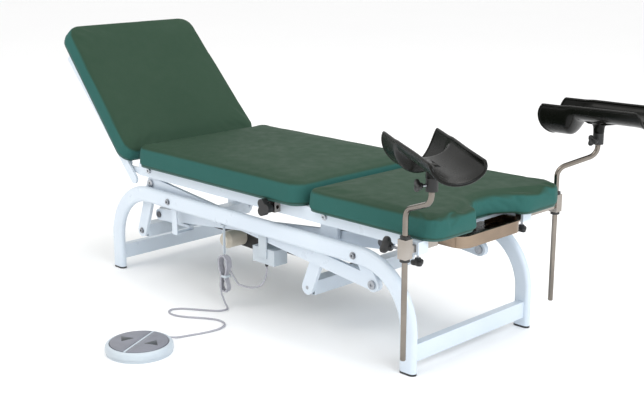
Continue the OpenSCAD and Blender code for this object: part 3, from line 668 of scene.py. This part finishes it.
POST = (736.0, 346.0)
ROD_R = 8.0
ROD_LOW = 76.0
BEND_Z = 470.0
ROD_TOP = 598.0
BEND_R = 36.0
BEND_TURN = math.radians(70)
ROD_OFFSET = 118.0
TILT_Z = 612.0
TROUGH_RIM_Z = 692.0
TROUGH_HALF = 78.0
TROUGH_LEN = 340.0
TROUGH_DEPTH = 54.0
LOBE_DEEPER = 47.0
NEAR_TIP = 5.0
SIDES = {
    "near": {"sign": -1, "offset_turn": -16.5, "trough_turn": -27.0, "socket_y": -293.0},
    "far": {"sign": 1, "offset_turn": 45.5, "trough_turn": 6.0, "socket_y": 175.0},
}


def rod_frame(side):
    facts = SIDES[side]
    return (Matrix.Translation(at(POST[0], facts["sign"] * POST[1], 0))
            @ Matrix.Rotation(math.radians(facts["offset_turn"]), 4, "Z"))


def trough_frame(side):
    """Origin on the rod's upper end at floor height, X along the trough."""
    facts = SIDES[side]
    turn = math.radians(facts["offset_turn"])
    x = POST[0] + ROD_OFFSET * math.cos(turn)
    y = facts["sign"] * POST[1] + ROD_OFFSET * math.sin(turn)
    return (Matrix.Translation(at(x, y, 0))
            @ Matrix.Rotation(math.radians(facts["trough_turn"]), 4, "Z"))


def rod_path():
    bend_x = BEND_R * (1 - math.cos(BEND_TURN))
    bend_h = BEND_R * math.sin(BEND_TURN)
    slant = (ROD_OFFSET - 2 * bend_x) / math.sin(BEND_TURN)
    path = [(0, 0, ROD_LOW + 2.0), (0, 0, 200), (0, 0, 330), (0, 0, BEND_Z - 8)]
    for k in range(13):
        a = BEND_TURN * k / 12
        path.append((BEND_R * (1 - math.cos(a)), 0, BEND_Z + BEND_R * math.sin(a)))
    end = (bend_x + slant * math.sin(BEND_TURN), BEND_Z + bend_h + slant * math.cos(BEND_TURN))
    for k in range(13):
        a = BEND_TURN * (1 - k / 12)
        path.append((end[0] + bend_x - BEND_R * (1 - math.cos(a)), 0,
                     end[1] + bend_h - BEND_R * math.sin(a)))
    path.append((ROD_OFFSET, 0, ROD_TOP))
    return [Vector(p) * MM for p in path]


def make_rod(side):
    path = rod_path()
    radii = [ROD_R * MM] * len(path)
    first = path[0] - Vector((0, 0, 2.0 * MM))
    rod = sweep(side + "_bent_rod", [first] + path, [(ROD_R - 1.8) * MM] + radii, 24)
    place(rod, rod_frame(side))
    piece(rod, side + "_rod", "stainless", side + "_rod", material="steel_bright")


def trough_point(u, v):
    """Skin of a leg trough: u runs -1 (head end) to 1, v -1 to 1 around from rim to rim.

    The head end is a deeper lobe, cut back in the middle, and the foot end's lip
    curls down a little."""
    turn = math.radians(88.0) * v
    middle = math.cos(turn) ** 2
    corner = 15.0 * abs(v) ** 10
    cut = 22.0 * middle ** 2 if u < 0 else 10.0
    reach = TROUGH_LEN / 2 - 4.0 - corner - cut
    x = u * reach
    depth = TROUGH_DEPTH - 6.0 + LOBE_DEEPER * eased((-52.0 - x) / 34.0)
    lip = 5.0 * middle * max(0.0, (x - 118.0) / 46.0) ** 2
    waist = 1.0 - 0.05 * eased((x + 60.0) / 120.0)
    y = (TROUGH_HALF - 4.0) * waist * math.sin(turn)
    z = TROUGH_RIM_Z - 5.0 - depth * math.cos(turn) ** 0.92 - lip
    return Vector((x, y, z)) * MM


def tipped(side):
    if side == "far":
        return Matrix.Identity(4)
    pin = Vector((0, 0, TILT_Z)) * MM
    return (Matrix.Translation(pin) @ Matrix.Rotation(math.radians(NEAR_TIP), 4, "Y")
            @ Matrix.Translation(-pin))


def make_trough(side):
    across, along = 40, 64
    verts = [trough_point(-1.0 + 2.0 * i / along, -1.0 + 2.0 * k / across)
             for i in range(along + 1) for k in range(across + 1)]
    row = across + 1
    faces = [(i * row + k, i * row + k + 1, (i + 1) * row + k + 1, (i + 1) * row + k)
             for i in range(along) for k in range(across)]
    shell = mesh_object(side + "_shell", verts, faces)
    thick = shell.modifiers.new("thick", "SOLIDIFY")
    thick.thickness = 0.0055
    thick.offset = 0.0
    apply_modifiers(shell)
    round_off = shell.modifiers.new("round", "SUBSURF")
    round_off.levels = 1
    apply_modifiers(shell)
    rim = sweep("rim", trough_rim(), 0.0046, 12, caps=False)
    floor_z = TROUGH_RIM_Z - TROUGH_DEPTH
    funnel = lathe("funnel", [(r * MM, (floor_z - drop) * MM) for r, drop in (
        (10.0, 34.0), (15.5, 34.0), (16.5, 32.5), (16.5, 24.0), (17.5, 16.0), (21.0, 8.0),
        (27.0, 2.0), (33.0, -1.0), (34.0, -4.0))], 40)
    ribs = [trough_rib(s * 17.0) for s in (-1, 1)]
    trough = join(side + "_leg_trough", [shell, rim, funnel] + ribs)
    place(trough, trough_frame(side) @ tipped(side))
    piece(trough, side + "_trough", "gloss_black", side + "_trough")


def trough_rib(y):
    """A moulded rib that runs from the funnel out under the channel."""
    floor_z = TROUGH_RIM_Z - TROUGH_DEPTH
    verts = []
    for x, low in ((-46.0, -1.0), (-26.0, 7.0), (26.0, 7.0), (70.0, -1.0)):
        for half, z in ((2.2, floor_z - low), (3.0, floor_z + 3.0)):
            verts += [Vector((x, y - half, z)) * MM, Vector((x, y + half, z)) * MM]
    faces = [(0, 1, 3, 2), (12, 13, 15, 14)]
    for i in range(3):
        a, b = 4 * i, 4 * i + 4
        faces += [(a, a + 1, b + 1, b), (a + 2, a + 3, b + 3, b + 2),
                  (a, a + 2, b + 2, b), (a + 1, a + 3, b + 3, b + 1)]
    rib = mesh_object("rib", verts, faces, smooth=False)
    return apply_modifiers(bevel(rib, 0.0012, 2))


def trough_rim():
    """The rolled edge: once round the open outline of the shell."""
    steps = 44
    loop = [trough_point(-1.0 + 2.0 * k / steps, 1.0) for k in range(steps)]
    loop += [trough_point(1.0, 1.0 - 2.0 * k / steps) for k in range(steps)]
    loop += [trough_point(1.0 - 2.0 * k / steps, -1.0) for k in range(steps)]
    loop += [trough_point(-1.0, -1.0 + 2.0 * k / steps) for k in range(steps + 1)]
    return loop


# ---------------------------------------------------------------- knobs

def knob(name, screw, radius, height, matrix):
    """Three-lobed moulded knob with a steel screw, standing on z 0 as in the CAD."""
    base = screw
    profile = [(0.30, -6.0), (0.42, -6.0), (0.44, -0.5), (0.78, 0.2), (0.96, 2.2), (1.0, height * 0.45),
               (0.97, height * 0.78), (0.86, height * 0.94), (0.62, height), (0.30, height - 0.6),
               (0.26, height - 1.6)]
    verts, faces = [], []
    sides = 96
    for part, z in profile:
        for k in range(sides):
            a = 2 * math.pi * k / sides
            lobe = 0.80 + 0.20 * math.cos(3 * a) ** 1 if part > 0.5 else 1.0
            scallop = lobe if part > 0.5 else 1.0
            r = radius * part * scallop
            verts.append(Vector((r * math.cos(a), r * math.sin(a), base + z)) * MM)
    for i in range(len(profile) - 1):
        for k in range(sides):
            n = (k + 1) % sides
            faces.append((i * sides + k, i * sides + n, (i + 1) * sides + n, (i + 1) * sides + k))
    faces.append(tuple(range(sides)))
    faces.append(tuple(range((len(profile) - 1) * sides, len(profile) * sides)))
    grip = mesh_object(name, verts, faces)
    place(grip, matrix)
    return grip


def knob_screw(name, screw, matrix):
    """The knob's threaded stud, with its turns of thread."""
    profile = [(2.8, 0.0), (3.6, 0.8)]
    z = 0.8
    while z < screw - 5.0:
        profile += [(4.0, z + 0.35), (3.5, z + 0.8)]
        z += 1.25
    profile += [(4.0, screw + 1.0)]
    stud = lathe(name, [(r * MM, h * MM) for r, h in profile], 24)
    place(stud, matrix)
    return stud


def make_knob(name, body, node, screw, radius, height, matrix):
    grip = knob(name, screw, radius, height, matrix)
    piece(grip, body, "black_plastic", node)
    stud = knob_screw(name + "_stud", screw, matrix)
    piece(stud, body, "zinc_bolts")


def make_knobs():
    for side, facts in SIDES.items():
        make_knob(side + "_rod_knob", side + "_trough_knob", side + "_trough_knob", 24, 18, 12,
                  trough_frame(side) @ axis_matrix(Vector((0, -8.4, 586)) * MM, (0, -1, 0)))
        make_knob(side + "_arm_knob", side + "_socket_knob", side + "_socket_knob", 28, 20, 14,
                  axis_matrix(at(POST[0], facts["socket_y"], 374.6), (0, 0, -1)))
        make_knob(side + "_post_knob", side + "_block_knob", side + "_block_knob", 45, 26, 16,
                  axis_matrix(at(POST[0] - 11.4, facts["sign"] * POST[1], 385), (-1, 0, 0)))


# ---------------------------------------------------------------- foot switch

SWITCH_AT = (27.0, -700.0)
PEDAL_R = 86.0
PEDAL_TURN = 25.0
GLAND_Z = 13.5


def make_foot_switch():
    centre = Matrix.Translation(at(SWITCH_AT[0], SWITCH_AT[1], 0))
    turned = centre @ Matrix.Rotation(math.radians(PEDAL_TURN), 4, "Z")
    profile = [(94.0, 8.6), (97.6, 8.2), (99.2, 8.9), (99.9, 11.0), (100.0, 16.0), (99.4, 21.0),
               (97.9, 25.0), (95.2, 28.0), (91.6, 29.7), (88.8, 29.9), (87.6, 29.3), (87.2, 27.8),
               (87.2, 20.0)]
    dome = lathe("dome", [(r * MM, h * MM) for r, h in profile], 112)
    bm = bmesh.new()
    bm.from_mesh(dome.data)
    caps = [f for f in bm.faces if len(f.verts) > 10]
    bmesh.ops.delete(bm, geom=caps, context="FACES_ONLY")
    bm.to_mesh(dome.data)
    bm.free()
    thick = dome.modifiers.new("thick", "SOLIDIFY")
    thick.thickness = 0.0012
    apply_modifiers(dome)
    place(dome, centre)
    gland = lathe("gland", [(r * MM, h * MM) for r, h in (
        (5.8, 0.0), (5.8, 2.0), (5.2, 2.6), (5.2, 4.0), (5.6, 4.5), (5.0, 6.0), (5.0, 7.4), (5.4, 8.0),
        (4.5, 10.0), (4.1, 13.0))], 32)
    place(gland, centre @ axis_matrix(Vector((0, 96.5, GLAND_Z)) * MM, (0, 1, 0)))
    bar = divider_bar()
    place(bar, turned)
    shell = join("switch_dome_shell", [dome, gland, bar])
    piece(shell, "base", "pale_plastic", "foot_switch_shell")
    make_pedal("raise_pedal", "raise_button", -1, turned)
    make_pedal("lower_pedal", "lower_button", 1, turned)


def divider_bar():
    """The pale rib that shows between the two pedals."""
    bm = bmesh.new()
    bmesh.ops.create_cube(bm, size=1.0)
    bmesh.ops.scale(bm, vec=(0.0062, 0.1740, 0.0085), verts=bm.verts)
    bmesh.ops.translate(bm, vec=(0.0, 0.0, 0.0275), verts=bm.verts)
    mesh = bpy.data.meshes.new("bar")
    bm.to_mesh(mesh)
    bm.free()
    return apply_modifiers(bevel(new_object("bar", mesh), 0.0012, 3))


def make_pedal(name, body, sign, centre):
    rings = [(PEDAL_R - 0.8, 23.2), (PEDAL_R - 0.2, 24.0), (PEDAL_R - 0.2, 30.0), (PEDAL_R - 0.8, 31.4),
             (PEDAL_R - 2.2, 32.3), (PEDAL_R - 12.0, 32.7), (PEDAL_R - 34.0, 32.9)]
    gap = 4.4
    verts, faces = [], []
    steps, flat_steps = 48, 24
    for radius, z in rings:
        inset = PEDAL_R - 0.2 - radius
        flat = gap + inset
        start = math.acos(flat / radius)
        ring = [(radius * math.cos(a), radius * math.sin(a))
                for a in (start * (2 * k / steps - 1) for k in range(steps + 1))]
        y_end = ring[-1][1]
        ring += [(flat, y_end - 2 * y_end * k / flat_steps) for k in range(1, flat_steps)]
        verts += [Vector((sign * x, y, z)) * MM for x, y in ring]
    count = steps + flat_steps
    for i in range(len(rings) - 1):
        for k in range(count):
            n = (k + 1) % count
            faces.append((i * count + k, i * count + n, (i + 1) * count + n, (i + 1) * count + k))
    faces.append(tuple(range(count)))
    faces.append(tuple(range((len(rings) - 1) * count, len(rings) * count)))
    pedal = mesh_object(name, verts, faces)
    place(pedal, centre)
    piece(pedal, body, "grey_pedal", body)
    mark = arrow_mark(name + "_mark", sign)
    place(mark, centre)
    piece(mark, body, "grey_pedal", material="dark_mark")


def arrow_mark(name, sign):
    """A raised dark triangle, pointing away from the couch to raise and towards it to lower."""
    middle = 0.046 * sign
    tip = 0.022 * sign
    corners = [Vector((middle - 0.022, -0.6 * tip, 0)), Vector((middle + 0.022, -0.6 * tip, 0)),
               Vector((middle, tip, 0))]
    verts = [c + Vector((0, 0, z)) for z in (0.0316, 0.0332) for c in corners]
    faces = [(0, 1, 2), (3, 4, 5), (0, 1, 4, 3), (1, 2, 5, 4), (2, 0, 3, 5)]
    mark = mesh_object(name, verts, faces, smooth=False)
    bevel(mark, 0.0005, 2)
    return apply_modifiers(mark)


# ---------------------------------------------------------------- room

def make_room():
    bpy.ops.mesh.primitive_plane_add(size=60)
    floor = bpy.context.object
    floor.name = "floor"
    s = Shader("floor_white", Roughness=0.75)
    s.colour(s.ramp(s.noise(0.6, 3.0), [(0.3, (0.955,) * 3), (0.7, (0.965,) * 3)]))
    floor.data.materials.append(s.material)
    world = bpy.data.worlds.new("studio")
    world.use_nodes = True
    world.node_tree.nodes["Background"].inputs["Color"].default_value = (1.0, 1.0, 1.0, 1.0)
    world.node_tree.nodes["Background"].inputs["Strength"].default_value = 1.0
    bpy.context.scene.world = world
    bpy.context.scene.view_settings.view_transform = "Standard"
    for name, spot, size, power, tone in (
            ("key", (-1.2, -3.2, 3.6), 2.4, 45.0, (1.0, 0.97, 0.93)),
            ("fill", (3.6, -0.6, 2.4), 2.2, 75.0, (0.86, 0.93, 1.0)),
            ("top", (0.2, 1.4, 4.2), 3.0, 60.0, (1.0, 0.98, 0.95))):
        data = bpy.data.lights.new(name, "AREA")
        data.size = size
        data.energy = power
        data.color = tone
        lamp = bpy.data.objects.new(name, data)
        lamp.location = spot
        lamp.rotation_euler = (Vector((0, 0, 0.4)) - Vector(spot)).to_track_quat("-Z", "Y").to_euler()
        bpy.context.scene.collection.objects.link(lamp)


make_camera()
make_cord()
finish_cad_nodes()
make_pads()
for which in SIDES:
    make_rod(which)
    make_trough(which)
make_knobs()
make_foot_switch()
make_room()
